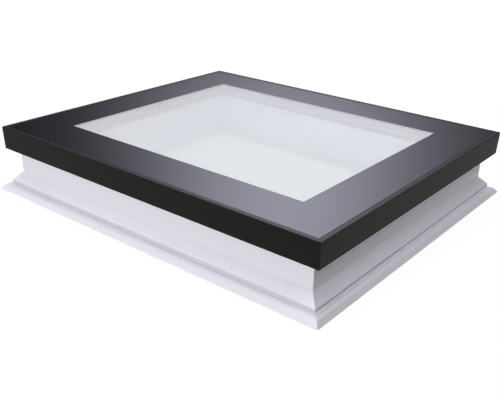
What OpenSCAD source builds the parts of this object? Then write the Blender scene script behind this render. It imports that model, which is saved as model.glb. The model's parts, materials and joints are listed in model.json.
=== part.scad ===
// Flat roof skylight: white hollow curb, hinged sash with dark edge trim and bordered glass.
// Millimetres, +Z up, origin at the centre of the base. The front is -Y and the hinges are at +Y.
// Section points are [outward distance from the sash edge, height above the base].

/* [Overall size] */
// Width of the sash over its trim
sash_w = 1000; // [800:10:1400]
// Length of the sash over its trim
sash_l = 860; // [800:10:1400]

/* [Curb] */
// Height of the curb
curb_h = 112; // [110:1:125]
// Inset of the curb's upright outer wall
wall_in = 30; // [28:0.5:33]
// Inset of the inner reveal at the top
reveal_in = 128; // [126:0.5:129]
// Height where the upright wall meets the slope
crease_z = 50; // [44:0.5:56]
// Depth of the small drip step at the crease
drip_step = 1.5; // [1:0.1:2.5]
// Inset of the slope's lower edge
slope_in = 8; // [5:0.5:11]
// Height of the slope's lower edge
slope_z = 25.5; // [22:0.5:30]
// Inset of the groove's floor
groove_in = 9; // [8.5:0.1:12]
// Height of the groove's lower edge
groove_z = 16.5; // [15.5:0.5:20]
// Inset of the fine ridge on the flange
hump_in = 2; // [0:0.5:5]
// Height of the fine ridge on the flange
hump_z = 14.8; // [13.5:0.1:15.5]
// Reach of the flange's rounded edge beyond the sash
ridge_out = 6; // [3:0.5:9]
// Height of the flange's edge
ridge_z = 12; // [9:0.5:13]
// Reach of the flange tip beyond the sash
flange_out = 14; // [10:0.5:20]
// Thickness of the flange tip
tip_t = 1.5; // [1:0.1:3]
// Wall thickness of the hollow profiles
pvc_wall = 4; // [3.5:0.1:4.5]
// Inset of the inner face below the upper nosing
step_in = 124; // [122:0.5:126]
// Height of the upper nosing's lower edge
step_z = 100; // [90:1:105]
// Inset of the rebate for the room's lining
rebate_in = 112; // [110:0.5:114]
// Height of the lining rebate
rebate_h = 65; // [55:1:72]
// Inset of the fixing foot's edge
foot_in = 126; // [125:0.5:128]
// Thickness of the fixing foot
foot_t = 8; // [6:0.5:12]

/* [Fixings] */
// Diameter of the fixing holes in the foot
fix_hole_d = 6; // [4:0.1:7]
// Inset of the fixing holes
fix_in = 119; // [118:0.5:120]
// Distance of the front and back fixing holes from the middle
fix_x = 250; // [150:5:260]
// Distance of the side fixing holes from the middle
fix_y = 200; // [150:5:240]

/* [Trim] */
// Width of the rim around the glass
lip_w = 12; // [8:0.5:13]
// Height of the skirt with its rim
skirt_h = 60; // [57:0.5:62]
// Inward lean of the skirt over its height
skirt_lean = 2; // [0.5:0.1:3]
// Thickness of the trim's metal
trim_t = 3; // [2:0.1:3.2]
// Width of the hem under the skirt
hem_w = 7; // [5:0.5:8]
// Thickness of the hem
hem_t = 2.5; // [1.5:0.1:3]
// Bevel on the trim's upper edge
trim_bevel = 1; // [0.5:0.1:2]
// Leg length of the corner keys
key_leg = 40; // [25:1:60]
// Thickness of the corner keys
key_t = 2; // [1.5:0.1:2.5]

/* [Glass] */
// Inset of the dark border's inner edge
border_in = 130; // [129:0.5:140]
// Thickness of the enamel border
enamel_t = 0.4; // [0.2:0.1:0.6]
// Thickness of the outer pane
outer_pane_t = 6; // [5:0.5:8]
// Thickness of the middle pane
middle_pane_t = 4; // [3:0.5:6]
// Thickness of the inner pane
inner_pane_t = 6; // [5:0.5:9]
// Height of each gas space
gas_gap = 14; // [12:0.5:18]
// Inset of the lower panes' edges
lower_pane_in = 102; // [100:0.5:104]
// Width of the secondary edge seal
edge_seal_w = 4; // [3:0.5:5]
// Width of the spacer bars
spacer_w = 10; // [8:0.5:12]
// How far the glass lies below the rim
glass_drop = 0.5; // [0.2:0.1:1]
// Gap between the glass edge and the rim
glass_gap = 0.5; // [0.3:0.1:1]

/* [Sash] */
// Height of the ledge under the glass
ledge_h = 10; // [9:0.5:14]
// Inset of the sash's glazing rebate
glazing_in = 96; // [94:0.5:98]
// Height of the gap between curb and sash
seal_gap = 6; // [5.5:0.1:7]
// Height of the glazing gasket
gasket_t = 2.1; // [1.5:0.1:3]
// Height of the bedding seal under the outer pane
bedding_t = 3; // [2:0.1:4]
// Rise of the sash's outer flange above its underside
flange_rise = 12; // [11.5:0.1:13]
// Step of the sash's outer flange inside the curb wall
flange_step = 3; // [2.5:0.1:4]
// Inset of the bedding seal from the outer pane's edge
bedding_in = 2; // [1:0.5:4]
// Inset of the glazing gasket from the inner pane's edge and the reveal
gasket_in = 2; // [1:0.5:4]

/* [Seals] */
// Inset of the outer weather seal
outer_seal_in = 38; // [37:0.5:40]
// Inset of the inner seal
inner_seal_in = 114; // [112:0.5:115]
// Width of the seals' grooves
seal_w = 6; // [5:0.1:6.5]
// Depth of the seals' grooves
seal_groove = 3; // [2:0.1:3.2]
// Inset of a seal's bulb from its groove
bulb_in = 1; // [0.5:0.1:1.5]

/* [Hinges] */
// Distance of each hinge from the sash corner
hinge_end = 200; // [150:5:250]
// Width of a hinge
hinge_w = 60; // [50:1:80]
// Width of the middle knuckle
knuckle_mid = 24; // [18:0.5:30]
// Outside diameter of the knuckles
knuckle_d = 9; // [8:0.1:9.5]
// Diameter of the hinge pins
hinge_pin_d = 5; // [4:0.1:5.5]
// Thickness of the hinge leaves
leaf_t = 3; // [2.5:0.1:3.2]
// Height of the leaf on the curb
leaf_h = 29; // [26:0.5:36]
// Inset of the hinge axis
hinge_in = 17; // [16.5:0.1:18]
// Gap between the knuckles and the sash leaf
knuckle_gap = 1.5; // [1:0.1:2]
// Depth of the curb leaf's screws below the hinge axis
leaf_screw_drop = 19; // [17:0.5:22]
// Distance of the sash leaf's screws outside the hinge axis
leaf_screw_out = 2; // [1:0.5:3]
// Gap between the sash leaf and the skirt
leaf_skirt_gap = 3; // [1:0.5:4]
// Gap between the sash leaf and the step behind it
leaf_step_gap = 1; // [0.5:0.1:2]
// Diameter of the hinge pins' heads
pin_head_d = 7; // [6.5:0.1:8]
// Thickness of the hinge pins' heads
pin_head_t = 2; // [1.5:0.1:3]
// Running clearance of pins in their bores
pin_gap = 0.05; // [0.02:0.01:0.08]

/* [Lift drive] */
// Inset of the lift racks
rack_in = 79; // [78:0.5:80]
// Width of a lift rack
rack_w = 12; // [10:0.5:13]
// Depth of a lift rack
rack_d = 16; // [14:0.5:18]
// Pitch of the rack teeth
tooth_pitch = 5; // [4:0.5:6]
// Depth of the rack teeth
tooth_h = 3; // [2:0.1:3.5]
// Distance of the first tooth from the rack's foot
tooth_start = 2; // [1:0.5:4]
// Wall of the rack above its cross hole
rack_top_wall = 2.5; // [2:0.1:3]
// Lowest point of a rack and its drive when closed
drive_floor = 8; // [6:0.5:12]
// Width of the drive body
drive_w = 40; // [36:0.5:42]
// Length of the drive's gearbox
gearbox_l = 64; // [56:1:76]
// Diameter of the drive's motor tube
motor_d = 34; // [28:0.5:36]
// Length of the drive's motor tube
motor_l = 120; // [90:1:140]
// Height of the motor tube above the drive's foot
motor_rise = 20; // [14:0.5:24]
// Width of the drive's face plate
face_w = 46; // [44:0.5:50]
// Thickness of the drive's face plate
face_t = 3; // [2:0.1:3.5]
// Reach of the face plate past the drive at each end
face_end = 18; // [14:0.5:24]
// Clearance around the drive in its pocket
pocket_gap = 1; // [0.6:0.1:1.5]
// Diameter of the rack's cross pin
rack_pin_d = 6; // [5:0.1:6.5]
// Depth of the cross pin below the sash
rack_pin_drop = 10; // [9.5:0.1:11]
// Diameter of the cross pin's collars
collar_d = 8.4; // [8:0.1:9]
// Thickness of the cross pin's collars
collar_t = 1; // [0.8:0.1:1.5]
// Clearance of the cross pin in its slot
slot_gap = 0.4; // [0.35:0.01:0.5]
// Travel of the cross pin along its slot
slot_travel = 5; // [4.8:0.1:6]
// Running clearance of the rack in its guide
guide_gap = 0.3; // [0.2:0.05:0.5]
// Thickness of the sash bracket's plate and ears
bracket_t = 3; // [2:0.1:3.2]
// Half length of the sash bracket's plate
bracket_half_l = 40; // [36:1:50]
// Half width of the sash bracket's plate
bracket_half_w = 18; // [17:0.5:22]
// Inset of the bracket's screws from the edges of its plate
bracket_screw_in = 6; // [5:0.5:8]
// Gap between the bracket's ears and the rack, and the pin's collars
ear_gap = 0.6; // [0.5:0.1:1]
// Wall of the bracket's ears around the slot
ear_wall = 4; // [3:0.5:5]
// Clearance beside the cross pin in the drive's well
well_gap = 0.8; // [0.6:0.1:1]
// Clearance at the ends of the bracket's ears in the drive's well
well_end_gap = 4; // [3:0.5:6]
// Clearance under the bracket's ears in the drive's well
well_floor_gap = 1.5; // [1:0.1:2.5]

/* [Small parts] */
// Diameter of the screw shanks
screw_d = 4; // [3:0.1:4.5]
// Diameter of the screw heads
screw_head_d = 7.5; // [6:0.1:8]
// Height of the screw heads
screw_head_h = 2; // [1.5:0.1:2.5]
// Length of the glazing blocks
block_l = 60; // [40:1:80]
// Distance of the glazing blocks from the sash corner
block_end = 190; // [170:5:240]
// Diameter of the cable gland's nut
gland_d = 20; // [16:0.5:24]
// Reach of the cable gland from the rebate
gland_l = 11; // [8:0.5:12]
// Height of the cable gland
gland_z = 36; // [28:0.5:44]
// Diameter of the cable gland's neck
gland_neck_d = 10; // [8:0.5:12]
// Diameter of the cable gland's dome
gland_dome_d = 16; // [13:0.5:16]
// Height of the cable gland's nut
gland_nut_h = 5.5; // [4:0.5:7]
// Distance of the cable gland from the sash's front edge
gland_y = 190; // [150:5:200]

/* [Hidden] */
$fn = 48;
// Clearance between pieces that are fitted together
fit = 0.2;
// Clearance around the insulation
fill_gap = 0.3;
// Clearance around screws
thread_gap = 0.05;
// Overlap that joins the shapes of one solid
join = 0.01;
// Reach of a cut past the face that it opens
over = 1;
// Where a gap between teeth starts, reaches its floor, leaves it and ends, as shares of the pitch
tooth_shares = [0, 0.3, 0.45, 0.75];

sash_z = curb_h + seal_gap;
ledge_z = sash_z + ledge_h;
inner_pane_z = ledge_z + gasket_t;
lower_gas_z = inner_pane_z + inner_pane_t;
middle_pane_z = lower_gas_z + gas_gap;
upper_gas_z = middle_pane_z + middle_pane_t;
enamel_z = upper_gas_z + gas_gap;
outer_pane_z = enamel_z + enamel_t;
top_z = outer_pane_z + outer_pane_t + glass_drop;
skirt_z = top_z - skirt_h;
sash_top_z = enamel_z - bedding_t;
flange_z = sash_z + flange_rise;
flange_in = wall_in + flange_step;
glass_in = lip_w + glass_gap;
hem_top_z = skirt_z + hem_t;
chamber_top_z = curb_h - seal_groove - pvc_wall;
web_z = rebate_h + pvc_wall;
hinge_y = sash_l / 2 - hinge_in;
hinge_z = flange_z - leaf_t - knuckle_gap - knuckle_d / 2;
hinge_x = sash_w / 2 - hinge_end;
rack_x = sash_w / 2 - rack_in;
rack_pin_z = sash_z - rack_pin_drop;
rack_top_z = rack_pin_z + rack_pin_d / 2 + rack_top_wall;
ear_in = rack_w / 2 + ear_gap;
ear_out = ear_in + bracket_t;
ear_end = slot_travel + rack_pin_d / 2 + ear_wall;
ear_z = rack_pin_z - rack_pin_d / 2 - ear_wall;
pin_half = ear_out + ear_gap + collar_t;
well_half_w = pin_half + well_gap;
well_half_l = ear_end + well_end_gap;
well_z = ear_z - well_floor_gap;
motor_z = drive_floor + motor_rise + motor_d / 2;
drive_end = gearbox_l / 2 + motor_l;
screw_bite = pvc_wall - fit;
pvc_white = [0.93, 0.94, 0.96];
trim_black = [0.13, 0.13, 0.13];

// Inner face of the skirt at a height, as an outward distance
function skirt_face(z) = -trim_t - skirt_lean * (top_z - z) / skirt_h;

// Helpers

// One mitred bar along X on the +Y side, from a section of [outward, height] points
module bar(half_len, half_off, u_out, u_in, h) {
    intersection() {
        translate([0, half_off, 0])
            rotate([90, 0, 90])
                linear_extrude(2 * (half_len + u_out), center = true) children();
        linear_extrude(h)
            polygon([
                [-half_len - u_out, half_off + u_out], [half_len + u_out, half_off + u_out],
                [half_len + u_in, half_off + u_in], [-half_len - u_in, half_off + u_in]
            ]);
    }
}

// Turns a bar from the +Y side to another side
module bar_on(turn) rotate([0, 0, turn]) children();

// A flat rectangular ring between two insets from the sash edge
module ring(in_from, in_to, z, h) {
    translate([0, 0, z]) linear_extrude(h) difference() {
        square([sash_w - 2 * in_from, sash_l - 2 * in_from], center = true);
        square([sash_w - 2 * in_to, sash_l - 2 * in_to], center = true);
    }
}

// A full pane inset from the sash edge
module pane(inset, z, t) {
    translate([0, 0, z]) linear_extrude(t)
        square([sash_w - 2 * inset, sash_l - 2 * inset], center = true);
}

// The left rack's axis, and the mirrored right one
module at_rack() translate([-rack_x, 0, 0]) children();
module mirrored() mirror([1, 0, 0]) children();
module both_sides() {
    children();
    mirrored() children();
}

// Both hinges, with X along the axis and the origin on it
module at_hinges() {
    for (side = [-1, 1]) translate([side * hinge_x, hinge_y, hinge_z]) children();
}

// A prism along X from a section of [Y, Z] points
module along_x(length) rotate([90, 0, 90]) linear_extrude(length, center = true) children();

// A screw that points up, with its head's top at z = 0 and a countersunk head
module countersunk_screw(length) {
    cylinder(d1 = screw_head_d, d2 = screw_d, h = screw_head_h);
    translate([0, 0, screw_head_h - join]) cylinder(d = screw_d, h = length - screw_head_h + join);
}

// The hole that the screw above fills
module countersunk_hole(length) {
    cylinder(d1 = screw_head_d + 2 * thread_gap, d2 = screw_d + 2 * thread_gap, h = screw_head_h);
    cylinder(d = screw_d + 2 * thread_gap, h = length);
}

// Curb

module curb_section() {
    difference() {
        polygon([
            [flange_out, 0], [flange_out, tip_t], [ridge_out, ridge_z], [-hump_in, hump_z],
            [-groove_in, groove_z], [-slope_in, slope_z],
            [-wall_in - drip_step, crease_z], [-wall_in, crease_z], [-wall_in, curb_h],
            [-outer_seal_in, curb_h], [-outer_seal_in, curb_h - seal_groove],
            [-outer_seal_in - seal_w, curb_h - seal_groove], [-outer_seal_in - seal_w, curb_h],
            [-inner_seal_in, curb_h], [-inner_seal_in, curb_h - seal_groove],
            [-inner_seal_in - seal_w, curb_h - seal_groove], [-inner_seal_in - seal_w, curb_h],
            [-reveal_in, curb_h], [-reveal_in, step_z], [-step_in, step_z],
            [-step_in, rebate_h], [-rebate_in, rebate_h], [-rebate_in, foot_t],
            [-foot_in, foot_t], [-foot_in, 0]
        ]);
        upper_chamber();
        lower_chamber();
        flange_chamber();
    }
}

module upper_chamber(gap = 0) {
    translate([-step_in + pvc_wall + gap, web_z + gap])
        square([step_in - wall_in - 2 * pvc_wall - 2 * gap, chamber_top_z - web_z - 2 * gap]);
}

module lower_chamber(gap = 0) {
    translate([-rebate_in + pvc_wall + gap, pvc_wall + gap])
        square([rebate_in - wall_in - drip_step - 2 * pvc_wall - 2 * gap, rebate_h - pvc_wall - 2 * gap]);
}

module flange_chamber() {
    inner = wall_in + drip_step;
    polygon([
        [ridge_out - pvc_wall, pvc_wall], [-hump_in - pvc_wall, hump_z - pvc_wall],
        [-groove_in - pvc_wall, groove_z - pvc_wall], [-slope_in - pvc_wall, slope_z - pvc_wall / 2],
        [-inner, crease_z - 1.5 * pvc_wall], [-inner, pvc_wall]
    ]);
}

module curb_bar(half_len, half_off, hole_from_middle) {
    difference() {
        bar(half_len, half_off, flange_out, -reveal_in, curb_h) curb_section();
        for (side = [-1, 1])
            translate([side * hole_from_middle, half_off - fix_in, -over])
                cylinder(d = fix_hole_d, h = foot_t + 2 * over);
    }
}

module insulation_bar(half_len, half_off) {
    bar(half_len, half_off, -wall_in, -reveal_in, curb_h) {
        upper_chamber(fill_gap);
        lower_chamber(fill_gap);
    }
}

// The pocket in a side bar that takes a drive, around the left rack's axis
module drive_pocket() {
    at_rack() {
        translate([-drive_w / 2 - pocket_gap, -gearbox_l / 2 - pocket_gap, pvc_wall])
            cube([drive_w + 2 * pocket_gap, gearbox_l + motor_l + 2 * pocket_gap, curb_h]);
        translate([-face_w / 2 - fit, -gearbox_l / 2 - face_end - fit, curb_h - face_t])
            cube([face_w + 2 * fit, gearbox_l + motor_l + 2 * face_end + 2 * fit, face_t + over]);
        at_drive_screws() cylinder(d = screw_d + 2 * thread_gap, h = curb_h);
    }
}

module at_drive_screws() {
    ends = [-gearbox_l / 2 - face_end / 2, drive_end + face_end / 2];
    for (x = [-1, 1], y = ends) translate([x * face_w / 4, y, chamber_top_z - over]) children();
}

module curb_left_bar() {
    difference() {
        bar_on(90) curb_bar(sash_l / 2, sash_w / 2, fix_y);
        drive_pocket();
    }
}

module gland_place() {
    translate([sash_w / 2 - rebate_in, gland_y - sash_l / 2, gland_z]) rotate([0, -90, 0]) children();
}

module curb_front() color(pvc_white) bar_on(180) curb_bar(sash_w / 2, sash_l / 2, fix_x);

module curb_back() {
    color(pvc_white) difference() {
        curb_bar(sash_w / 2, sash_l / 2, fix_x);
        at_curb_screws() cylinder(d = screw_d + 2 * thread_gap, h = leaf_t + pvc_wall + over);
    }
}

module curb_left() color(pvc_white) curb_left_bar();

module curb_right() {
    color(pvc_white) difference() {
        mirrored() curb_left_bar();
        gland_place() translate([0, 0, -pvc_wall - over])
            cylinder(d = gland_neck_d + fit, h = pvc_wall + 2 * over);
    }
}

module insulation_front() color("gainsboro") bar_on(180) insulation_bar(sash_w / 2, sash_l / 2);
module insulation_back() color("gainsboro") insulation_bar(sash_w / 2, sash_l / 2);

module insulation_left() {
    color("gainsboro") difference() {
        bar_on(90) insulation_bar(sash_l / 2, sash_w / 2);
        drive_pocket();
    }
}

module insulation_right() color("gainsboro") mirrored() insulation_left();

module seal_ring(inset) {
    ring(inset + fit, inset + seal_w - fit, curb_h - seal_groove, seal_groove);
    ring(inset + bulb_in, inset + seal_w - bulb_in, curb_h - join, seal_gap - fit);
}

module weather_seal() color("dimgray") seal_ring(outer_seal_in);
module inner_seal() color("lightgray") seal_ring(inner_seal_in);

module cable_gland() {
    color("white") gland_place() {
        translate([0, 0, -pvc_wall]) cylinder(d = gland_neck_d, h = pvc_wall + join);
        cylinder(d = gland_d, h = gland_nut_h, $fn = 6);
        translate([0, 0, gland_nut_h - join])
            cylinder(d1 = gland_dome_d, d2 = gland_neck_d, h = gland_l - gland_nut_h + join);
    }
}

// Hinges

module at_curb_screws() {
    for (side = [-1, 1], x = [-1, 1])
        translate([
            side * hinge_x + x * hinge_w / 3,
            sash_l / 2 - wall_in + leaf_t,
            hinge_z - leaf_screw_drop
        ]) rotate([90, 0, 0]) children();
}

module at_leaf_screws() {
    for (side = [-1, 1], x = [-1, 1])
        translate([side * hinge_x + x * hinge_w / 3, hinge_y + leaf_screw_out, flange_z - leaf_t]) children();
}

module hinge_curb_leaves() {
    plate_in = hinge_in - wall_in;
    knuckle_l = (hinge_w - knuckle_mid) / 2 - guide_gap;
    color("silver") difference() {
        at_hinges() {
            translate([-hinge_w / 2, plate_in, -leaf_h]) cube([hinge_w, leaf_t, leaf_h]);
            for (side = [-1, 1])
                translate([side * (hinge_w - knuckle_l) / 2, 0, 0]) along_x(knuckle_l) difference() {
                    union() {
                        circle(d = knuckle_d);
                        translate([plate_in, -leaf_t]) square([-plate_in, leaf_t]);
                    }
                    circle(d = hinge_pin_d + 2 * pin_gap);
                }
        }
        at_curb_screws() translate([0, 0, -over])
            cylinder(d = screw_d + 2 * thread_gap, h = leaf_t + 2 * over);
    }
}

module hinge_pins() {
    color("gray") at_hinges() {
        along_x(hinge_w) circle(d = hinge_pin_d);
        for (side = [-1, 1])
            translate([side * (hinge_w + pin_head_t) / 2, 0, 0]) along_x(pin_head_t) circle(d = pin_head_d);
    }
}

module hinge_curb_screws() {
    color("gray") at_curb_screws() {
        translate([0, 0, -screw_head_h]) cylinder(d = screw_head_d, h = screw_head_h);
        translate([0, 0, -join]) cylinder(d = screw_d, h = leaf_t + screw_bite);
    }
}

module hinge_sash_leaves() {
    leaf_out = hinge_in + skirt_face(flange_z) - leaf_skirt_gap;
    leaf_back = hinge_in - flange_in + leaf_step_gap;
    color("silver") difference() {
        at_hinges() {
            translate([-hinge_w / 2, leaf_back, flange_z - hinge_z - leaf_t])
                cube([hinge_w, leaf_out - leaf_back, leaf_t]);
            along_x(knuckle_mid) difference() {
                union() {
                    circle(d = knuckle_d);
                    translate([-leaf_t / 2, 0]) square([leaf_t, flange_z - hinge_z - leaf_t + join]);
                }
                circle(d = hinge_pin_d + 2 * pin_gap);
            }
        }
        at_leaf_screws() translate([0, 0, -join]) countersunk_hole(leaf_t + over);
    }
}

module hinge_sash_screws() color("gray") at_leaf_screws() countersunk_screw(leaf_t + screw_bite);

// Lift drive

module drive_unit() {
    block_h = curb_h - drive_floor;
    at_rack() difference() {
        union() {
            translate([-drive_w / 2, -gearbox_l / 2, drive_floor]) cube([drive_w, gearbox_l, block_h]);
            translate([0, gearbox_l / 2 - over, motor_z])
                rotate([-90, 0, 0]) cylinder(d = motor_d, h = motor_l + over);
            translate([-face_w / 2, -gearbox_l / 2 - face_end, curb_h - face_t])
                cube([face_w, gearbox_l + motor_l + 2 * face_end, face_t]);
        }
        translate([-rack_w / 2 - guide_gap, -rack_d / 2 - guide_gap, drive_floor - over])
            cube([rack_w + 2 * guide_gap, rack_d + 2 * guide_gap, curb_h]);
        translate([-well_half_w, -well_half_l, well_z])
            cube([2 * well_half_w, 2 * well_half_l, curb_h]);
        at_drive_screws() cylinder(d = screw_d + 2 * thread_gap, h = curb_h);
    }
}

module drive_unit_left() color("darkslategray") drive_unit();
module drive_unit_right() color("darkslategray") mirrored() drive_unit();

module drive_screws() {
    color("gray") both_sides() at_rack() at_drive_screws() {
        translate([0, 0, over + fit]) cylinder(d = screw_d, h = curb_h - chamber_top_z - fit);
        translate([0, 0, over + curb_h - chamber_top_z]) cylinder(d = screw_head_d, h = screw_head_h);
    }
}

// A bar with teeth on the +Y face and a cross hole at the top
module lift_rack() {
    teeth = floor((well_z - drive_floor - tooth_pitch) / tooth_pitch);
    depths = [0, tooth_h, tooth_h, 0];
    tooth_run = [for (i = [0 : teeth - 1], k = [0 : 3])
        [rack_d / 2 - depths[k], drive_floor + tooth_start + (i + tooth_shares[k]) * tooth_pitch]];
    at_rack() along_x(rack_w) difference() {
        polygon(concat(
            [[-rack_d / 2, drive_floor], [rack_d / 2, drive_floor]],
            tooth_run,
            [[rack_d / 2, rack_top_z], [-rack_d / 2, rack_top_z]]
        ));
        translate([0, rack_pin_z]) circle(d = rack_pin_d + 2 * pin_gap);
    }
}

module lift_rack_left() color("gray") lift_rack();
module lift_rack_right() color("gray") mirrored() lift_rack();

module rack_pins() {
    color("silver") both_sides() at_rack() translate([0, 0, rack_pin_z]) {
        along_x(2 * pin_half) circle(d = rack_pin_d);
        for (side = [-1, 1])
            translate([side * (pin_half - collar_t / 2), 0, 0]) along_x(collar_t) circle(d = collar_d);
    }
}

module at_bracket_screws() {
    for (x = [-1, 1], y = [-1, 1])
        translate([
            x * (bracket_half_w - bracket_screw_in),
            y * (bracket_half_l - bracket_screw_in),
            sash_z - bracket_t
        ]) children();
}

module sash_bracket() {
    slot_r = rack_pin_d / 2 + slot_gap;
    at_rack() difference() {
        union() {
            translate([-bracket_half_w, -bracket_half_l, sash_z - bracket_t])
                cube([2 * bracket_half_w, 2 * bracket_half_l, bracket_t]);
            for (x = [-ear_out, ear_in])
                translate([x, -ear_end, ear_z])
                    cube([bracket_t, ear_end + rack_pin_d / 2 + ear_wall, sash_z - bracket_t + join - ear_z]);
        }
        translate([0, 0, rack_pin_z]) along_x(2 * (ear_out + over)) {
            translate([-slot_travel, -slot_r]) square([slot_travel, 2 * slot_r]);
            for (y = [-slot_travel, 0]) translate([y, 0]) circle(r = slot_r);
        }
        at_bracket_screws() translate([0, 0, -join]) countersunk_hole(bracket_t + over);
    }
}

module sash_brackets() color("silver") both_sides() sash_bracket();

module bracket_screws() {
    color("gray") both_sides() at_rack() at_bracket_screws() countersunk_screw(bracket_t + screw_bite);
}

// Sash

module sash_section() {
    difference() {
        polygon([
            [-flange_in, sash_z], [-reveal_in, sash_z], [-reveal_in, ledge_z],
            [-glazing_in, ledge_z], [-glazing_in, sash_top_z],
            [skirt_face(sash_top_z) - fit, sash_top_z], [skirt_face(flange_z) - fit, flange_z],
            [-flange_in, flange_z]
        ]);
        translate([-glazing_in + pvc_wall, sash_z + pvc_wall])
            square([glazing_in - flange_in - 2 * pvc_wall, sash_top_z - sash_z - 2 * pvc_wall]);
        translate([-flange_in, flange_z + pvc_wall])
            square([flange_in + skirt_face(flange_z) - pvc_wall, sash_top_z - flange_z - 2 * pvc_wall]);
    }
}

module sash_bar(half_len, half_off) {
    bar(half_len, half_off, -trim_t, -reveal_in, top_z) sash_section();
}

module sash_left_bar() {
    difference() {
        bar_on(90) sash_bar(sash_l / 2, sash_w / 2);
        at_rack() at_bracket_screws() cylinder(d = screw_d + 2 * thread_gap, h = bracket_t + pvc_wall + over);
    }
}

module sash_front() color("white") bar_on(180) sash_bar(sash_w / 2, sash_l / 2);

module sash_back() {
    color("white") difference() {
        sash_bar(sash_w / 2, sash_l / 2);
        at_leaf_screws() cylinder(d = screw_d + 2 * thread_gap, h = leaf_t + pvc_wall + over);
    }
}

module sash_left() color("white") sash_left_bar();
module sash_right() color("white") mirrored() sash_left_bar();

// Trim

module trim_section() {
    nose_z = sash_top_z + fit;
    polygon([
        [0, top_z - trim_bevel], [-trim_bevel, top_z], [-lip_w, top_z], [-lip_w, nose_z],
        [skirt_face(nose_z), nose_z], [skirt_face(hem_top_z), hem_top_z],
        [-skirt_lean - hem_w, hem_top_z], [-skirt_lean - hem_w, skirt_z], [-skirt_lean, skirt_z]
    ]);
}

module trim_bar(half_len, half_off) bar(half_len, half_off, 0, -lip_w, top_z + over) trim_section();

module trim_front() color(trim_black) bar_on(180) trim_bar(sash_w / 2, sash_l / 2);
module trim_back() color(trim_black) trim_bar(sash_w / 2, sash_l / 2);
module trim_left() color(trim_black) bar_on(90) trim_bar(sash_l / 2, sash_w / 2);
module trim_right() color(trim_black) bar_on(270) trim_bar(sash_l / 2, sash_w / 2);

module trim_corner_keys() {
    face = -skirt_face(hem_top_z) + fit;
    corners = [[-1, -1], [1, -1], [1, 1], [-1, 1]];
    color("gray") for (i = [0 : 3])
        translate([corners[i][0] * (sash_w / 2 - face), corners[i][1] * (sash_l / 2 - face), hem_top_z + fit])
            rotate([0, 0, 90 * i]) linear_extrude(flange_z - hem_top_z - 2 * fit) {
                square([key_leg, key_t]);
                square([key_t, key_leg]);
            }
}

// Glass unit

module outer_pane() color("lightblue", 0.4) pane(glass_in, outer_pane_z, outer_pane_t);
module enamel_border() color([0.1, 0.1, 0.11]) ring(glass_in, border_in, enamel_z, enamel_t);
module upper_spacer() color("lightgray") spacer_bar(upper_gas_z);
module lower_spacer() color("lightgray") spacer_bar(lower_gas_z);
module upper_edge_seal() color("gray") edge_seal(upper_gas_z);
module lower_edge_seal() color("gray") edge_seal(lower_gas_z);
module middle_pane() color("lightblue", 0.4) pane(lower_pane_in, middle_pane_z, middle_pane_t);
module inner_pane() color("lightblue", 0.4) pane(lower_pane_in, inner_pane_z, inner_pane_t);

module edge_seal(z) ring(lower_pane_in, lower_pane_in + edge_seal_w, z, gas_gap);

module spacer_bar(z) {
    outer = lower_pane_in + edge_seal_w;
    ring(outer, outer + spacer_w, z, gas_gap);
}

module bedding_seal() color("dimgray") ring(glass_in + bedding_in, flange_in, sash_top_z, bedding_t);

module glazing_gasket() {
    color("lightgray") ring(lower_pane_in + gasket_in, reveal_in - gasket_in, ledge_z, gasket_t);
}

module glazing_blocks() {
    block_w = lower_pane_in - glazing_in - 2 * fit;
    block_h = sash_top_z - inner_pane_z;
    x_edge = sash_w / 2 - glazing_in - fit;
    y_edge = sash_l / 2 - glazing_in - fit;
    color("silver") translate([0, 0, inner_pane_z]) for (side = [-1, 1], end = [-1, 1]) {
        translate([side * (x_edge - block_w / 2), end * (sash_l / 2 - block_end), block_h / 2])
            cube([block_w, block_l, block_h], center = true);
        translate([end * (sash_w / 2 - block_end), side * (y_edge - block_w / 2), block_h / 2])
            cube([block_l, block_w, block_h], center = true);
    }
}

curb_front();
curb_back();
curb_left();
curb_right();
insulation_front();
insulation_back();
insulation_left();
insulation_right();
weather_seal();
inner_seal();
cable_gland();
hinge_curb_leaves();
hinge_pins();
hinge_curb_screws();
drive_unit_left();
drive_unit_right();
drive_screws();
lift_rack_left();
lift_rack_right();
rack_pins();
sash_front();
sash_back();
sash_left();
sash_right();
trim_front();
trim_back();
trim_left();
trim_right();
trim_corner_keys();
outer_pane();
enamel_border();
upper_spacer();
upper_edge_seal();
middle_pane();
lower_spacer();
lower_edge_seal();
inner_pane();
bedding_seal();
glazing_gasket();
glazing_blocks();
hinge_sash_leaves();
hinge_sash_screws();
sash_brackets();
bracket_screws();
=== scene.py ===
# Roof skylight: eased profiles, bulb seals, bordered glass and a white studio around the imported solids
import json
import math

import bmesh
import bpy
from mathutils import Matrix, Vector


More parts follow.
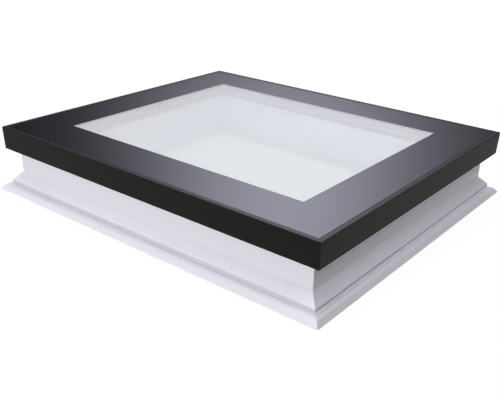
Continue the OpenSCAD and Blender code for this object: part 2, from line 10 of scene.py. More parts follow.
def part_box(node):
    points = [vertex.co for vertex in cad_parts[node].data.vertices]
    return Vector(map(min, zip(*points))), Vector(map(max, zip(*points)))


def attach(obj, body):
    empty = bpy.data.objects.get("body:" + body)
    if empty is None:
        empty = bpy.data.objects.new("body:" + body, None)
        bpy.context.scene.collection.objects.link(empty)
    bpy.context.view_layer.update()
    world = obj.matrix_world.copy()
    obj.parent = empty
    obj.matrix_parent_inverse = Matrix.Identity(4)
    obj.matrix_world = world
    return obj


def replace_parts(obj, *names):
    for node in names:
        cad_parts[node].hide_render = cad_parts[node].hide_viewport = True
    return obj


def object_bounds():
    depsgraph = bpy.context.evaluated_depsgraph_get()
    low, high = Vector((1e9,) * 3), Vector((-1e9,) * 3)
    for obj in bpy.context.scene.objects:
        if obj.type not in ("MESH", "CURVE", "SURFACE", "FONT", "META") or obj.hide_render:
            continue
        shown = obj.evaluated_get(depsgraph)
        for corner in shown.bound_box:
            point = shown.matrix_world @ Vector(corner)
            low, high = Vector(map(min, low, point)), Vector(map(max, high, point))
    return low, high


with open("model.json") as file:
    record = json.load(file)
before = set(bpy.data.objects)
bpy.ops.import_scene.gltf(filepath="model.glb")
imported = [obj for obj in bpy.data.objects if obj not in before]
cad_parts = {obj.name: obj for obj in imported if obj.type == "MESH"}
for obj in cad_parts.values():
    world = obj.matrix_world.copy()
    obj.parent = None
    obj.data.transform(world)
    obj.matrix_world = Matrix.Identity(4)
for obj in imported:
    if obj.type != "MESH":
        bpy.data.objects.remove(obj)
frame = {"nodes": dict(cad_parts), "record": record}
cad_low, cad_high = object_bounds()
NODES = frame["nodes"]
SLOT_OF = {part["node"]: part["material_slot"] for part in frame["record"]["subparts"]}
BODY_OF = {node: body for body, nodes in frame["record"]["behaviour"]["bodies"].items() for node in nodes}
SIDES = ("front", "back", "left", "right")

# Sizes in metres that the boxes of the solids don't give: points closer than MERGE are one
MILLIMETRE = 0.001
PROFILE_EASE = 0.6 * MILLIMETRE
TRIM_EASE = 0.7 * MILLIMETRE
STEEL_EASE = 0.4 * MILLIMETRE
TOOTH_EASE = 0.2 * MILLIMETRE
MOULDED_EASE = 0.5 * MILLIMETRE
MERGE = 0.005 * MILLIMETRE

# The curb's outside: how far in it reaches, its heights and the small forms along them
CURB_RUN = 40 * MILLIMETRE
SLOPE_FOOT_Z = 25.5 * MILLIMETRE
GROOVE_Z = 16.5 * MILLIMETRE
GROOVE_LEAN = 1 * MILLIMETRE
FLANGE_STEP_Z = 14.8 * MILLIMETRE
FLANGE_STEP = 1.2 * MILLIMETRE
FLANGE_RISE = 1.2 * MILLIMETRE
FLANGE_EDGE_Z = 12 * MILLIMETRE
FLANGE_EDGE_ROUND = 1 * MILLIMETRE

# Seals: the bulb is an arc of BULB_STEPS points, BULB_TURN apart, and the inner seal has a wing too
BULB_START = math.radians(-70)
BULB_TURN = math.radians(20)
BULB_STEPS = 17
WING_AFTER = 13
WING_SHARE = 0.75
INNER_WING = 10.7 * MILLIMETRE

# Glass, its border and the bead around it
GLASS_GAP = 0.05 * MILLIMETRE
GLASS_ARRIS = 0.8 * MILLIMETRE
BORDER_UNDERLAP = 12 * MILLIMETRE
BEAD_DEPTH = 2.5 * MILLIMETRE
BEAD_SINK = 0.15 * MILLIMETRE
BEAD_HOLLOW = 0.2 * MILLIMETRE

# Screw heads, which are the faces larger than HEAD_FACE, and their hexagon sockets
HEAD_FACE = 40 * MILLIMETRE ** 2
HEAD_RIM = 1.2 * MILLIMETRE
SOCKET_FLATS = 4 * MILLIMETRE
SOCKET_DEPTH = 1.1 * MILLIMETRE
SOCKET_DRAFT = 0.03 * MILLIMETRE
SIXTH = math.radians(60)

# Angles under which faces count as one plane and edges stay smooth, and the turn of a square ring
FLAT_ANGLE = math.radians(0.5)
SHARP_ANGLE = math.radians(28)
SQUARE_TURN = math.radians(45)

# The rise of a face's normal under which the face is upright, and over which it looks up
UPRIGHT_RISE = 0.5
UPWARD_RISE = 0.3

# The photograph's camera, fitted to the straight edges of the frame
CAMERA_PLACE = Vector((1.1069, -1.4026, 0.7582))
CAMERA_AZIMUTH = math.radians(38.50)
CAMERA_DOWN = math.radians(23.79)
CAMERA_ROLL = math.radians(1.34)
CAMERA_LENS = 50.95
SENSOR_WIDTH = 36.0

# Materials


def linear(code):
    """The linear colour of an sRGB hex code."""
    parts = [int(code[i:i + 2], 16) / 255 for i in (1, 3, 5)]
    return [p / 12.92 if p <= 0.04045 else ((p + 0.055) / 1.055) ** 2.4 for p in parts] + [1.0]


def add(tree, kind, inputs=None, **settings):
    """A node with its settings, where each input gets a value or a link from another node or socket."""
    made = tree.nodes.new(kind)
    for name, value in settings.items():
        setattr(made, name, value)
    for key, value in (inputs or {}).items():
        source = value.outputs[0] if isinstance(value, bpy.types.Node) else value
        if isinstance(source, bpy.types.NodeSocket):
            tree.links.new(source, made.inputs[key])
        else:
            made.inputs[key].default_value = source
    return made


def blank(name):
    """A new material and its empty node tree."""
    material = bpy.data.materials.new(name)
    material.use_nodes = True
    material.node_tree.nodes.clear()
    return material, material.node_tree


def per_size(*millimetres):
    """The scales at which one step of a pattern covers these sizes."""
    return [1 / (size * MILLIMETRE) for size in millimetres]


def extruded_pvc(name, dark, light):
    """Rigid white PVC from an extrusion die: a satin cool white with faint die lines along each length.

    Real die lines are under 1 mm apart. They are drawn 4 mm apart so that they show.
    """
    material, tree = blank(name)
    place = add(tree, "ShaderNodeTexCoord").outputs["Object"]
    along = add(tree, "ShaderNodeMapping", {"Vector": place, "Scale": per_size(500, 500, 4)})
    lines = add(tree, "ShaderNodeTexNoise", {"Vector": along, "Scale": 1.0, "Detail": 3.0})
    cloud = add(tree, "ShaderNodeTexNoise", {"Vector": place, "Scale": per_size(90)[0]})
    colour = add(tree, "ShaderNodeMix", {0: lines, 6: linear(dark), 7: linear(light)}, data_type="RGBA")
    gloss = add(tree, "ShaderNodeMapRange", {"Value": cloud, "To Min": 0.34, "To Max": 0.46})
    relief = add(tree, "ShaderNodeBump", {"Height": lines, "Distance": 0.05 * MILLIMETRE})
    shader = add(tree, "ShaderNodeBsdfPrincipled", {
        "Base Color": colour.outputs[2], "Roughness": gloss, "Normal": relief, "IOR": 1.53})
    add(tree, "ShaderNodeOutputMaterial", {"Surface": shader})
    return material


def powder_coat():
    """Polyester powder coat on an aluminium profile: near black, matt, with a fine cured grain.

    The real grain is about 0.3 mm. It is drawn at 1.2 mm so that it shows.
    """
    material, tree = blank("black_powder_coat")
    place = add(tree, "ShaderNodeTexCoord").outputs["Object"]
    grain = add(tree, "ShaderNodeTexNoise", {"Vector": place, "Scale": per_size(1.2)[0], "Detail": 3.0})
    cloud = add(tree, "ShaderNodeTexNoise", {"Vector": place, "Scale": per_size(60)[0]})
    colour = add(
        tree, "ShaderNodeMix", {0: cloud, 6: linear("#0F0F0E"), 7: linear("#151413")}, data_type="RGBA")
    gloss = add(tree, "ShaderNodeMapRange", {"Value": grain, "To Min": 0.50, "To Max": 0.64})
    relief = add(tree, "ShaderNodeBump", {"Height": grain, "Distance": 0.03 * MILLIMETRE})
    shader = add(tree, "ShaderNodeBsdfPrincipled", {
        "Base Color": colour.outputs[2], "Roughness": gloss, "Normal": relief, "IOR": 1.5,
        "Specular IOR Level": 0.13, "Specular Tint": linear("#FFEFD8")})
    add(tree, "ShaderNodeOutputMaterial", {"Surface": shader})
    return material


def satin_lip():
    """The coat on the rim's lip, pressed smooth by the tool: dark with a soft sheen of the sky.

    The real grain is about 0.3 mm. It is drawn at 2 mm so that it shows.
    """
    material, tree = blank("satin_black_lip")
    place = add(tree, "ShaderNodeTexCoord").outputs["Object"]
    grain = add(tree, "ShaderNodeTexNoise", {"Vector": place, "Scale": per_size(2)[0], "Detail": 3.0})
    colour = add(
        tree, "ShaderNodeMix", {0: grain, 6: linear("#171717"), 7: linear("#1C1C1C")}, data_type="RGBA")
    gloss = add(tree, "ShaderNodeMapRange", {"Value": grain, "To Min": 0.36, "To Max": 0.46})
    shader = add(tree, "ShaderNodeBsdfPrincipled", {
        "Base Color": colour.outputs[2], "Roughness": gloss, "IOR": 1.5, "Specular IOR Level": 0.25})
    add(tree, "ShaderNodeOutputMaterial", {"Surface": shader})
    return material


def float_glass(name, clearness, dark, light):
    """Coated float glass: the iron gives a faint green, and a coat gives a pale veil.

    The coats leave almost no mirror, so the IOR is far under the 1.52 of bare glass.
    """
    material, tree = blank(name)
    place = add(tree, "ShaderNodeTexCoord").outputs["Object"]
    wave = add(tree, "ShaderNodeTexNoise", {"Vector": place, "Scale": per_size(250)[0], "Detail": 1.0})
    colour = add(tree, "ShaderNodeMix", {0: wave, 6: linear(dark), 7: linear(light)}, data_type="RGBA")
    shader = add(tree, "ShaderNodeBsdfPrincipled", {
        "Base Color": colour.outputs[2], "Roughness": 0.0, "IOR": 1.04, "Transmission Weight": clearness})
    add(tree, "ShaderNodeOutputMaterial", {"Surface": shader})
    return material


def bordered_glass():
    """Toughened glass over black ceramic ink: deep black under a clear mirror with a slight roller wave.

    The real ink has specks of about 0.1 mm. They are drawn at 2 mm so that they show.
    """
    material, tree = blank("glass_over_black_ink")
    place = add(tree, "ShaderNodeTexCoord").outputs["Object"]
    wave = add(tree, "ShaderNodeTexNoise", {"Vector": place, "Scale": per_size(300)[0], "Detail": 1.0})
    speckle = add(tree, "ShaderNodeTexNoise", {"Vector": place, "Scale": per_size(2)[0]})
    colour = add(
        tree, "ShaderNodeMix", {0: speckle, 6: linear("#17181B"), 7: linear("#1B1C20")}, data_type="RGBA")
    relief = add(tree, "ShaderNodeBump", {"Height": wave, "Distance": 0.02 * MILLIMETRE})
    shader = add(tree, "ShaderNodeBsdfPrincipled", {
        "Base Color": colour.outputs[2], "Roughness": 0.03, "Normal": relief, "IOR": 1.52})
    add(tree, "ShaderNodeOutputMaterial", {"Surface": shader})
    return material


def ceramic_ink():
    """The back of the fired ceramic ink: matt black with a sandy grain.

    The real grain is about 0.1 mm. It is drawn at 1.5 mm so that it shows.
    """
    material, tree = blank("fired_black_ink")
    place = add(tree, "ShaderNodeTexCoord").outputs["Object"]
    grain = add(tree, "ShaderNodeTexNoise", {"Vector": place, "Scale": per_size(1.5)[0], "Detail": 4.0})
    colour = add(
        tree, "ShaderNodeMix", {0: grain, 6: linear("#141416"), 7: linear("#222226")}, data_type="RGBA")
    gloss = add(tree, "ShaderNodeMapRange", {"Value": grain, "To Min": 0.55, "To Max": 0.75})
    shader = add(tree, "ShaderNodeBsdfPrincipled", {
        "Base Color": colour.outputs[2], "Roughness": gloss, "IOR": 1.5})
    add(tree, "ShaderNodeOutputMaterial", {"Surface": shader})
    return material


def spacer_plastic():
    """Warm edge spacer: violet grey plastic with a fine ribbed skin.

    Real ribs are about 1 mm apart. They are drawn 2.5 mm apart so that they show.
    """
    material, tree = blank("grey_spacer_plastic")
    place = add(tree, "ShaderNodeTexCoord").outputs["Object"]
    along = add(tree, "ShaderNodeMapping", {"Vector": place, "Scale": per_size(500, 500, 2.5)})
    ribs = add(tree, "ShaderNodeTexNoise", {"Vector": along, "Scale": 1.0})
    colour = add(
        tree, "ShaderNodeMix", {0: ribs, 6: linear("#8E8BA6"), 7: linear("#9794AE")}, data_type="RGBA")
    gloss = add(tree, "ShaderNodeMapRange", {"Value": ribs, "To Min": 0.45, "To Max": 0.6})
    relief = add(tree, "ShaderNodeBump", {"Height": ribs, "Distance": 0.05 * MILLIMETRE})
    shader = add(tree, "ShaderNodeBsdfPrincipled", {
        "Base Color": colour.outputs[2], "Roughness": gloss, "Normal": relief, "IOR": 1.5})
    add(tree, "ShaderNodeOutputMaterial", {"Surface": shader})
    return material


def soft_rubber(name, dark, light):
    """Extruded sealing rubber: dull, with a dusty bloom and faint lines along its length."""
    material, tree = blank(name)
    place = add(tree, "ShaderNodeTexCoord").outputs["Object"]
    along = add(tree, "ShaderNodeMapping", {"Vector": place, "Scale": per_size(20, 20, 4)})
    bloom = add(tree, "ShaderNodeTexNoise", {"Vector": along, "Scale": 1.0, "Detail": 4.0})
    colour = add(tree, "ShaderNodeMix", {0: bloom, 6: linear(dark), 7: linear(light)}, data_type="RGBA")
    gloss = add(tree, "ShaderNodeMapRange", {"Value": bloom, "To Min": 0.52, "To Max": 0.7})
    relief = add(tree, "ShaderNodeBump", {"Height": bloom, "Distance": 0.05 * MILLIMETRE})
    shader = add(tree, "ShaderNodeBsdfPrincipled", {
        "Base Color": colour.outputs[2], "Roughness": gloss, "Normal": relief, "IOR": 1.52,
        "Specular IOR Level": 0.35})
    add(tree, "ShaderNodeOutputMaterial", {"Surface": shader})
    return material


def zinc_steel():
    """Zinc plated steel: silvery, with the cloudy patches of its passivation over fine rolling lines.

    Real rolling lines are about 0.1 mm apart. They are drawn 0.4 mm apart so that they show.
    """
    material, tree = blank("zinc_plated_steel")
    place = add(tree, "ShaderNodeTexCoord").outputs["Object"]
    cloud = add(tree, "ShaderNodeTexNoise", {"Vector": place, "Scale": per_size(12)[0], "Detail": 3.0})
    across = add(tree, "ShaderNodeMapping", {"Vector": place, "Scale": per_size(4, 0.4, 4)})
    rolling = add(tree, "ShaderNodeTexNoise", {"Vector": across, "Scale": 1.0})
    colour = add(
        tree, "ShaderNodeMix", {0: cloud, 6: linear("#A9ADB2"), 7: linear("#C7C9CC")}, data_type="RGBA")
    gloss = add(tree, "ShaderNodeMapRange", {"Value": cloud, "To Min": 0.28, "To Max": 0.46})
    relief = add(tree, "ShaderNodeBump", {"Height": rolling, "Distance": 0.01 * MILLIMETRE})
    shader = add(tree, "ShaderNodeBsdfPrincipled", {
        "Base Color": colour.outputs[2], "Roughness": gloss, "Normal": relief, "Metallic": 1.0})
    add(tree, "ShaderNodeOutputMaterial", {"Surface": shader})
    return material


def painted_casting():
    """Die cast drive housing under grey paint: satin, with a slight orange peel."""
    material, tree = blank("painted_grey_casting")
    place = add(tree, "ShaderNodeTexCoord").outputs["Object"]
    peel = add(tree, "ShaderNodeTexNoise", {"Vector": place, "Scale": per_size(3)[0]})
    colour = add(
        tree, "ShaderNodeMix", {0: peel, 6: linear("#4B4F54"), 7: linear("#555A5F")}, data_type="RGBA")
    gloss = add(tree, "ShaderNodeMapRange", {"Value": peel, "To Min": 0.38, "To Max": 0.5})
    relief = add(tree, "ShaderNodeBump", {"Height": peel, "Distance": 0.06 * MILLIMETRE})
    shader = add(tree, "ShaderNodeBsdfPrincipled", {
        "Base Color": colour.outputs[2], "Roughness": gloss, "Normal": relief, "IOR": 1.5})
    add(tree, "ShaderNodeOutputMaterial", {"Surface": shader})
    return material


def white_nylon():
    """Moulded nylon: milky white with a soft eroded skin.

    The real skin has pits of about 0.1 mm. They are drawn at 1.2 mm so that they show.
    """
    material, tree = blank("moulded_white_nylon")
    place = add(tree, "ShaderNodeTexCoord").outputs["Object"]
    skin = add(tree, "ShaderNodeTexNoise", {"Vector": place, "Scale": per_size(1.2)[0]})
    colour = add(
        tree, "ShaderNodeMix", {0: skin, 6: linear("#E6E6E4"), 7: linear("#EFEFEC")}, data_type="RGBA")
    gloss = add(tree, "ShaderNodeMapRange", {"Value": skin, "To Min": 0.42, "To Max": 0.55})
    relief = add(tree, "ShaderNodeBump", {"Height": skin, "Distance": 0.03 * MILLIMETRE})
    shader = add(tree, "ShaderNodeBsdfPrincipled", {
        "Base Color": colour.outputs[2], "Roughness": gloss, "Normal": relief, "IOR": 1.53,
        "Subsurface Weight": 0.15, "Subsurface Radius": (1, 1, 1), "Subsurface Scale": MILLIMETRE})
    add(tree, "ShaderNodeOutputMaterial", {"Surface": shader})
    return material


def foam_fill():
    """Expanded polystyrene: white beads pressed together, matt, with painted shade darkening each seam
    between them.
    """
    material, tree = blank("white_bead_foam")
    place = add(tree, "ShaderNodeTexCoord").outputs["Object"]
    beads = add(tree, "ShaderNodeTexVoronoi", {"Vector": place, "Scale": per_size(4)[0]})
    # Painted shade: the colour turns greyer towards the seams between beads
    colour = add(
        tree, "ShaderNodeMix", {0: beads, 6: linear("#F2F2F0"), 7: linear("#D9D9D6")}, data_type="RGBA")
    gloss = add(tree, "ShaderNodeMapRange", {"Value": beads, "To Min": 0.8, "To Max": 0.95})
    relief = add(tree, "ShaderNodeBump", {"Height": beads, "Distance": 0.4 * MILLIMETRE}, invert=True)
    shader = add(tree, "ShaderNodeBsdfPrincipled", {
        "Base Color": colour.outputs[2], "Roughness": gloss, "Normal": relief, "IOR": 1.4})
    add(tree, "ShaderNodeOutputMaterial", {"Surface": shader})
    return material


PVC = extruded_pvc("extruded_white_pvc", "#E0E0E9", "#E9E9F0")
# A greyer copy of the white PVC: painted shade for the upright face of the groove under the curb's slope
GROOVE_SHADE_PVC = extruded_pvc("painted_shade_groove_pvc", "#C9C9D1", "#D1D1D9")
COAT = powder_coat()
LIP = satin_lip()
GLASS = float_glass("clear_float_glass", 1.0, "#F4FAFA", "#F6FCFB")
VEILED = float_glass("coated_float_glass", 0.50, "#DEDEE1", "#E0E0E3")
BORDER = bordered_glass()
INK = ceramic_ink()
BLACK_RUBBER = soft_rubber("black_sealing_rubber", "#141414", "#1F1F1F")
GREY_RUBBER = soft_rubber("pale_grey_sealing_rubber", "#D4D2DC", "#DEDCE6")
STEEL = zinc_steel()
CASTING = painted_casting()
NYLON = white_nylon()

# The finish that each slot of the record gets
FINISH_OF = {
    "white_pvc": PVC, "insulation_foam": foam_fill(), "dark_trim": COAT, "clear_glass": GLASS,
    "dark_enamel": INK, "grey_spacer": spacer_plastic(),
    "edge_sealant": soft_rubber("pale_edge_sealant", "#BEBEC6", "#CACAD2"),
    "black_rubber": BLACK_RUBBER, "grey_rubber": GREY_RUBBER, "zinc_steel": STEEL,
    "drive_casing": CASTING, "white_nylon": NYLON,
}
for node, solid in NODES.items():
    solid.data.materials.clear()
    solid.data.materials.append(FINISH_OF[SLOT_OF[node]])


# Meshes


def mesh_object(bm, name, *finishes):
    """An object at the origin from a finished mesh."""
    mesh = bpy.data.meshes.new(name)
    bm.to_mesh(mesh)
    bm.free()
    for finish in finishes:
        mesh.materials.append(finish)
    made = bpy.data.objects.new(name, mesh)
    bpy.context.scene.collection.objects.link(made)
    return made


def stand_in(bm, name, node, *finishes):
    """A piece that stands for a solid: it rides on the solid's body, and the solid is hidden."""
    piece = mesh_object(bm, name, *finishes)
    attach(piece, BODY_OF[node])
    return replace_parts(piece, node)


def merged(node):
    """A copy of a solid's mesh with its points merged and its flat faces joined."""
    bm = bmesh.new()
    bm.from_mesh(NODES[node].data)
    bmesh.ops.remove_doubles(bm, verts=bm.verts, dist=MERGE)
    bmesh.ops.dissolve_limit(
        bm, angle_limit=FLAT_ANGLE, verts=bm.verts, edges=bm.edges, delimit={"MATERIAL"})
    for face in bm.faces:
        face.material_index = 0
    return bm


def rounded(bm, edges, radius, segments=2):
    """Round edges to arcs of one radius."""
    bmesh.ops.bevel(
        bm, geom=edges, offset=radius, offset_type="OFFSET", segments=segments, profile=0.5,
        affect="EDGES", clamp_overlap=True, material=-1)


def shade(bm):
    """Smooth faces, with the edges that stay sharp marked so."""
    for face in bm.faces:
        face.smooth = True
    for edge in bm.edges:
        edge.smooth = edge.is_manifold and edge.calc_face_angle() < SHARP_ANGLE


def eased(node, radius, finishes, first_form=None, last_touch=None):
    """A piece of the same form as a solid, with its sharp edges rounded."""
    bm = merged(node)
    if first_form:
        first_form(bm)
    sharp = [edge for edge in bm.edges if edge.is_manifold and edge.calc_face_angle() > SHARP_ANGLE]
    rounded(bm, sharp, radius)
    if last_touch:
        last_touch(bm)
    shade(bm)
    piece = stand_in(bm, node + "_eased", node, *finishes)
    piece.modifiers.new("flat_faces", "WEIGHTED_NORMAL").keep_sharp = True


def swept(outline):
    """A closed section of (half width, half length, height) points, swept round the frame with mitres."""
    bm = bmesh.new()
    turn = Matrix.Rotation(SQUARE_TURN, 4, "Z")
    ring = bmesh.ops.create_circle(bm, cap_ends=False, radius=1, segments=4, matrix=turn)["verts"]
    edges = list({edge for corner in ring for edge in corner.link_edges})
    for step, (half_x, half_y, z) in enumerate(outline + outline[:1]):
        if step:
            made = bmesh.ops.extrude_edge_only(bm, edges=edges)["geom"]
            edges = [part for part in made if isinstance(part, bmesh.types.BMEdge)]
        for corner in {corner for edge in edges for corner in edge.verts}:
            corner.co = (math.copysign(half_x, corner.co.x), math.copysign(half_y, corner.co.y), z)
    bmesh.ops.remove_doubles(bm, verts=bm.verts, dist=MERGE)
    bmesh.ops.recalc_face_normals(bm, faces=bm.faces)
    shade(bm)
    return bm


# Curb, sash and trim


def outer_run(bm, z):
    """The long edges outside a curb bar at one height."""
    return [edge for edge in bm.edges if edge.calc_length() > cad_high.y and all(
        abs(corner.co.z - z) < MERGE and abs(corner.co.x) > cad_high.x - CURB_RUN for corner in edge.verts)]


def move_in(corner, distance):
    """Move a corner of a mitred bar towards the middle of the frame."""
    corner.co.x -= math.copysign(distance, corner.co.x)
    corner.co.y -= math.copysign(distance, corner.co.y)


def curb_forms(bm):
    """The profile's small forms: a groove that leans in, a soft edge and a fine step on the flange."""
    for corner in {corner for edge in outer_run(bm, GROOVE_Z) for corner in edge.verts}:
        move_in(corner, GROOVE_LEAN)
    rounded(bm, outer_run(bm, FLANGE_EDGE_Z), FLANGE_EDGE_ROUND, segments=4)
    step = outer_run(bm, FLANGE_STEP_Z)
    for corner in {corner for edge in step for corner in edge.verts}:
        corner.co.z += FLANGE_RISE
    ends = [corner.co.copy() for edge in step for corner in edge.verts]
    rounded(bm, step, FLANGE_STEP)
    # The bevel's middle row still lies near the old ends, and moving it in and down cuts the step
    near = FLANGE_STEP / 4
    for corner in bm.verts:
        if any((corner.co - end).length < near for end in ends):
            move_in(corner, FLANGE_STEP)
            corner.co.z -= FLANGE_STEP


def paint_groove_shade(bm):
    """The darker second finish for the upright face of the groove: painted shade for the recess under the
    slope.
    """
    for face in bm.faces:
        middle = face.calc_center_median()
        outside = max(abs(middle.x) - cad_high.x, abs(middle.y) - cad_high.y) > -CURB_RUN
        if outside and GROOVE_Z < middle.z < SLOPE_FOOT_Z and abs(face.normal.z) < UPRIGHT_RISE:
            face.material_index = 1


def satin_top(bm):
    """The second finish for the faces along the top of the rim."""
    for face in bm.faces:
        if face.calc_center_median().z > cad_high.z - 2 * TRIM_EASE and face.normal.z > UPWARD_RISE:
            face.material_index = 1


for side in SIDES:
    # The curb's groove face gets the greyer PVC, a painted shade
    eased("curb_" + side, PROFILE_EASE, [PVC, GROOVE_SHADE_PVC], curb_forms, paint_groove_shade)
    eased("sash_" + side, PROFILE_EASE, [PVC])
    eased("trim_" + side, TRIM_EASE, [COAT, LIP], None, satin_top)


# Seals


def bulb_seal(node, finish, wing=0.0):
    """A rubber seal with a foot in the curb's groove, a bulb that meets the sash and perhaps a wing."""
    low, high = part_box(node)
    points = [corner.co for corner in NODES[node].data.vertices]
    inner = min(abs(point.x) for point in points)
    foot_z = min(point.z for point in points if point.z > low.z + MERGE)
    middle_x = (high.x + inner) / 2
    middle_z = (high.z + foot_z) / 2
    radius = (high.z - foot_z) / 2
    turns = [BULB_START + step * BULB_TURN for step in range(BULB_STEPS)]
    bulb = [(middle_x + radius * math.cos(turn), middle_z + radius * math.sin(turn)) for turn in turns]
    if wing:
        tip = [(middle_x - wing, middle_z + way * WING_SHARE * radius) for way in (1, -1)]
        bulb = bulb[:WING_AFTER] + tip + bulb[WING_AFTER:]
    section = [(inner, foot_z), (inner, low.z), (high.x, low.z), (high.x, foot_z)] + bulb
    outline = [(x, x - high.x + high.y, z) for x, z in section]
    stand_in(swept(outline), node + "_bulb", node, finish)


bulb_seal("weather_seal", BLACK_RUBBER)
bulb_seal("inner_seal", GREY_RUBBER, INNER_WING)


# Glass


def pane_block(node):
    """A pane with eased arrises, a hair smaller than its solid so that it touches no other face."""
    low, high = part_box(node)
    hair = Vector((GLASS_GAP, GLASS_GAP, GLASS_GAP))
    size = high - low - 2 * hair
    bm = bmesh.new()
    matrix = Matrix.Translation((low + high) / 2) @ Matrix.Diagonal(size.to_4d())
    bmesh.ops.create_cube(bm, size=1.0, matrix=matrix)
    rounded(bm, list(bm.edges), GLASS_ARRIS)
    return bm


def outer_glass():
    """The outer pane: ink border on both faces, clear in the middle."""
    half_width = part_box("outer_pane")[1].x
    opening = min(abs(corner.co.x) for corner in NODES["enamel_border"].data.vertices)
    border = half_width - GLASS_GAP - GLASS_ARRIS - opening
    bm = pane_block("outer_pane")
    broad = sorted(bm.faces, key=lambda face: face.calc_area())[-2:]
    for face in bm.faces:
        face.material_index = 1
    for face in broad:
        upper = face.normal.z > 0
        inset = border - (0 if upper else BORDER_UNDERLAP)
        ring = bmesh.ops.inset_region(bm, faces=[face], thickness=inset, use_even_offset=True)["faces"]
        face.material_index = 0
        for part in ring:
            part.material_index = 1 if upper else 2
    pane = stand_in(bm, "outer_pane_bordered", "outer_pane", VEILED, BORDER, INK)
    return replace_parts(pane, "enamel_border")


def rim_bead():
    """The black sealant in the slit between the rim and the glass, a little hollow along its middle."""
    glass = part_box("outer_pane")[1]
    rim = min(abs(corner.co.x) for corner in NODES["trim_right"].data.vertices if corner.co.z > glass.z)
    top = glass.z - BEAD_SINK
    section = [
        (glass.x, top - BEAD_DEPTH), (rim, top - BEAD_DEPTH), (rim, top),
        ((rim + glass.x) / 2, top - BEAD_HOLLOW), (glass.x, top)]
    outline = [(x, x - glass.x + glass.y, z) for x, z in section]
    piece = mesh_object(swept(outline), "rim_bead", BLACK_RUBBER)
    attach(piece, "sash")


panes = [outer_glass()]
for node in ("middle_pane", "inner_pane"):
    panes.append(stand_in(pane_block(node), node + "_eased", node, GLASS))
for pane in panes:
    pane.visible_shadow = False
rim_bead()


# Hinges, drives and small parts


def socket_screws(node):
    """Screws whose heads have a rounded rim and a hexagon socket."""
    bm = merged(node)
    heads = [face for face in bm.faces if face.calc_area() > HEAD_FACE]
    rims = [edge for head in heads for edge in head.edges]
    for head in heads:
        bmesh.ops.inset_region(bm, faces=[head], thickness=HEAD_RIM, use_even_offset=True)
        middle = head.calc_center_median()
        first = head.verts[0].co - middle
        for corner in head.verts:
            arm = corner.co - middle
            turn = math.atan2(head.normal.dot(first.cross(arm)), first.dot(arm))
            reach = SOCKET_FLATS / 2 / math.cos(turn % SIXTH - SIXTH / 2)
            corner.co = middle + arm.normalized() * reach
        bmesh.ops.inset_region(
            bm, faces=[head], thickness=SOCKET_DRAFT, depth=-SOCKET_DEPTH, use_even_offset=True)
    rounded(bm, rims, STEEL_EASE)
    shade(bm)
    stand_in(bm, node + "_socketed", node, STEEL)


for node in ("hinge_curb_screws", "hinge_sash_screws", "drive_screws", "bracket_screws"):
    socket_screws(node)
for node in ("hinge_curb_leaves", "hinge_sash_leaves", "hinge_pins", "sash_brackets", "rack_pins"):
    eased(node, STEEL_EASE, [STEEL])
for side in ("left", "right"):
    eased("drive_unit_" + side, STEEL_EASE, [CASTING])
    eased("lift_rack_" + side, TOOTH_EASE, [STEEL])
for node in ("cable_gland", "glazing_blocks"):
    eased(node, MOULDED_EASE, [NYLON])


# Studio: lengths in metres, watts, and levels at which 1 is white

AMBIENT = 0.20
FLOOR_SIZE = 40.0
FLOOR_GREY = 0.14
FLOOR_GLOW = 0.89
FADE_START = 1.0
FADE_END = 3.0
ROOM_POWER = 1.6
ROOM_Z = 2 * MILLIMETRE
WHITE = (1, 1, 1, 1)

# The tent: TENT_LIFT, CROWN_START and CROWN_END are shares of its height
TENT_RADIUS = 12.0
TENT_RINGS = 24
TENT_FOOT = 0.5 * MILLIMETRE
TENT_TURN = math.radians(34.9)
TENT_LIFT = 0.162
TENT_GAIN = 9.28
TENT_POWER = 4.18
TENT_DARK = 0.04
CROWN_START = 0.72
CROWN_END = 0.95
CROWN_LEVEL = 0.12

# Each round softbox: its place, what it looks at, its width in metres and its watts
SOFTBOXES = {
    "front_softbox": ((-0.3, -5.0, 0.8), (0, -0.4, 0.08), 1.6, 152),
    "side_softbox": ((2.7, 0.0, 3.1), (0.5, 0, 0.05), 1.5, 24),
    "top_softbox": ((0.0, 0.3, 4.0), (0, 0, 0.1), 6.0, 120),
    "back_softbox": ((-3.3, 3.8, 0.35), (-0.2, 0.2, 0.08), 0.7, 105),
}


def shows_white(tree):
    """1 for rays from the camera, from mirrors and through glass."""
    path = add(tree, "ShaderNodeLightPath").outputs
    seen = add(
        tree, "ShaderNodeMath", {0: path["Is Camera Ray"], 1: path["Is Glossy Ray"]}, operation="MAXIMUM")
    return add(tree, "ShaderNodeMath", {0: seen, 1: path["Is Transmission Ray"]}, operation="MAXIMUM")


def white_world():
    """White to the eye, and an even soft light on the object."""
    world = bpy.data.worlds.new("white_studio")
    bpy.context.scene.world = world
    world.use_nodes = True
    tree = world.node_tree
    tree.nodes.clear()
    fill = add(tree, "ShaderNodeBackground", {"Color": WHITE, "Strength": AMBIENT})
    white = add(tree, "ShaderNodeBackground", {"Color": WHITE, "Strength": 1.0})
    either = add(tree, "ShaderNodeMixShader", {0: shows_white(tree), 1: fill, 2: white})
    add(tree, "ShaderNodeOutputWorld", {"Surface": either})


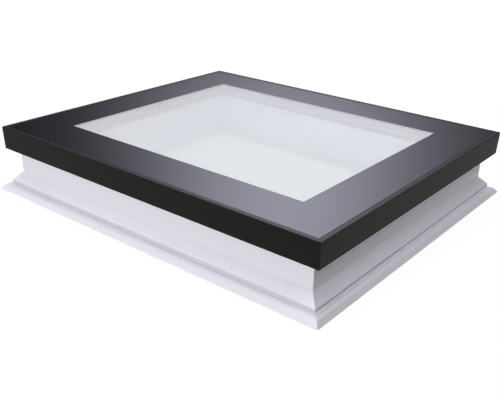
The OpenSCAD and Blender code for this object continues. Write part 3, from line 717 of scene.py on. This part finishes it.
def pale_floor():
    """A white floor that glows to the eye: it keeps a soft shadow, and fades to pure white further off."""
    material, tree = blank("pale_floor")
    place = add(tree, "ShaderNodeTexCoord").outputs["Object"]
    away = add(tree, "ShaderNodeVectorMath", {0: place}, operation="LENGTH").outputs["Value"]
    fade = add(tree, "ShaderNodeMapRange", {
        "Value": away, "From Min": FADE_START, "From Max": FADE_END, "To Min": FLOOR_GLOW, "To Max": 1.0})
    glow = add(tree, "ShaderNodeMath", {0: shows_white(tree), 1: fade}, operation="MULTIPLY")
    light = add(tree, "ShaderNodeEmission", {"Strength": glow})
    matt = add(tree, "ShaderNodeBsdfDiffuse", {"Color": (FLOOR_GREY, FLOOR_GREY, FLOOR_GREY, 1)})
    both = add(tree, "ShaderNodeAddShader", {0: light, 1: matt})
    add(tree, "ShaderNodeOutputMaterial", {"Surface": both})
    bm = bmesh.new()
    bmesh.ops.create_grid(bm, x_segments=1, y_segments=1, size=FLOOR_SIZE)
    mesh_object(bm, "floor", material)


def light_tent():
    """A dome that only mirrors see: a soft upright strip of light in each quarter, and an even crown."""
    material, tree = blank("light_tent")
    place = add(tree, "ShaderNodeTexCoord").outputs["Object"]
    turned = add(tree, "ShaderNodeMapping", {"Vector": place, "Rotation": (0, 0, -TENT_TURN)})
    unit = add(tree, "ShaderNodeVectorMath", {0: turned}, operation="NORMALIZE")
    height = add(tree, "ShaderNodeSeparateXYZ", {0: unit}).outputs["Z"]
    squares = add(tree, "ShaderNodeVectorMath", {0: unit, 1: unit}, operation="MULTIPLY")
    square = add(tree, "ShaderNodeSeparateXYZ", {0: squares}).outputs
    apart = add(tree, "ShaderNodeMath", {0: square["X"], 1: square["Y"]}, operation="SUBTRACT")
    total = add(tree, "ShaderNodeMath", {0: square["X"], 1: square["Y"]}, operation="ADD")
    spread = add(tree, "ShaderNodeMath", {0: apart, 1: total}, operation="DIVIDE")
    even = add(tree, "ShaderNodeMath", {0: spread, 1: spread}, operation="MULTIPLY")
    strip = add(tree, "ShaderNodeMath", {0: even, 1: TENT_POWER}, operation="POWER")
    crown = add(
        tree, "ShaderNodeMapRange", {"Value": height, "From Min": CROWN_START, "From Max": CROWN_END},
        interpolation_type="SMOOTHSTEP")
    band = add(tree, "ShaderNodeMix", {0: crown, 2: strip, 3: CROWN_LEVEL})
    above = add(tree, "ShaderNodeMath", {0: height, 1: TENT_LIFT}, operation="SUBTRACT")
    lift = add(tree, "ShaderNodeMath", {0: above, 1: 0.0}, operation="MAXIMUM")
    soft = add(tree, "ShaderNodeMath", {0: band, 1: lift}, operation="MULTIPLY")
    glow = add(tree, "ShaderNodeMath", {0: soft, 1: TENT_GAIN, 2: TENT_DARK}, operation="MULTIPLY_ADD")
    light = add(tree, "ShaderNodeEmission", {"Color": linear("#ECECFF"), "Strength": glow})
    add(tree, "ShaderNodeOutputMaterial", {"Surface": light})
    bm = bmesh.new()
    bmesh.ops.create_uvsphere(bm, u_segments=2 * TENT_RINGS, v_segments=TENT_RINGS, radius=TENT_RADIUS)
    bmesh.ops.bisect_plane(
        bm, geom=bm.verts[:] + bm.edges[:] + bm.faces[:], plane_co=(0, 0, TENT_FOOT), plane_no=(0, 0, 1),
        clear_inner=True)
    tent = mesh_object(bm, "light_tent", material)
    tent.visible_camera = False
    tent.visible_diffuse = False
    tent.visible_transmission = False
    tent.visible_shadow = False


def lamp(name, place, aim, size, watts):
    """An area lamp at a place, turned to what it looks at."""
    data = bpy.data.lights.new(name, "AREA")
    data.shape = "DISK"
    data.size = size
    data.energy = watts
    made = bpy.data.objects.new(name, data)
    made.location = place
    made.rotation_euler = (Vector(aim) - Vector(place)).to_track_quat("-Z", "Y").to_euler()
    bpy.context.scene.collection.objects.link(made)
    return made


def unseen(made):
    """Hide a lamp's own shape from the camera, from mirrors and through glass, and keep its light."""
    made.visible_camera = False
    made.visible_glossy = False
    made.visible_transmission = False


def room_below():
    """Light that rises into the well from the room under it, as wide as the well."""
    across = min(abs(corner.co.x) for corner in NODES["curb_right"].data.vertices if corner.co.z < ROOM_Z)
    along = min(abs(corner.co.y) for corner in NODES["curb_front"].data.vertices if corner.co.z < ROOM_Z)
    made = lamp("room_below", (0, 0, ROOM_Z), (0, 0, 1), 2 * (across - MILLIMETRE), ROOM_POWER)
    made.data.shape = "RECTANGLE"
    made.data.size_y = 2 * (along - MILLIMETRE)
    return made


def photo_camera():
    """The camera at the photograph's place, direction and small roll."""
    forward = Vector((
        -math.sin(CAMERA_AZIMUTH) * math.cos(CAMERA_DOWN),
        math.cos(CAMERA_AZIMUTH) * math.cos(CAMERA_DOWN),
        -math.sin(CAMERA_DOWN)))
    level = forward.cross(Vector((0, 0, 1))).normalized()
    right = Matrix.Rotation(-CAMERA_ROLL, 3, forward) @ level
    up = right.cross(forward)
    data = bpy.data.cameras.new("photo_camera")
    data.sensor_width = SENSOR_WIDTH
    data.lens = CAMERA_LENS
    made = bpy.data.objects.new("photo_camera", data)
    turned = Matrix((right, up, -forward)).transposed().to_4x4()
    made.matrix_world = Matrix.Translation(CAMERA_PLACE) @ turned
    bpy.context.scene.collection.objects.link(made)
    bpy.context.scene.camera = made


white_world()
pale_floor()
light_tent()
for name, (place, aim, size, watts) in SOFTBOXES.items():
    lamp(name, place, aim, size, watts)
for name in ("front_softbox", "back_softbox"):
    unseen(bpy.data.objects[name])
unseen(room_below())
photo_camera()
bpy.context.scene.view_settings.view_transform = "Standard"
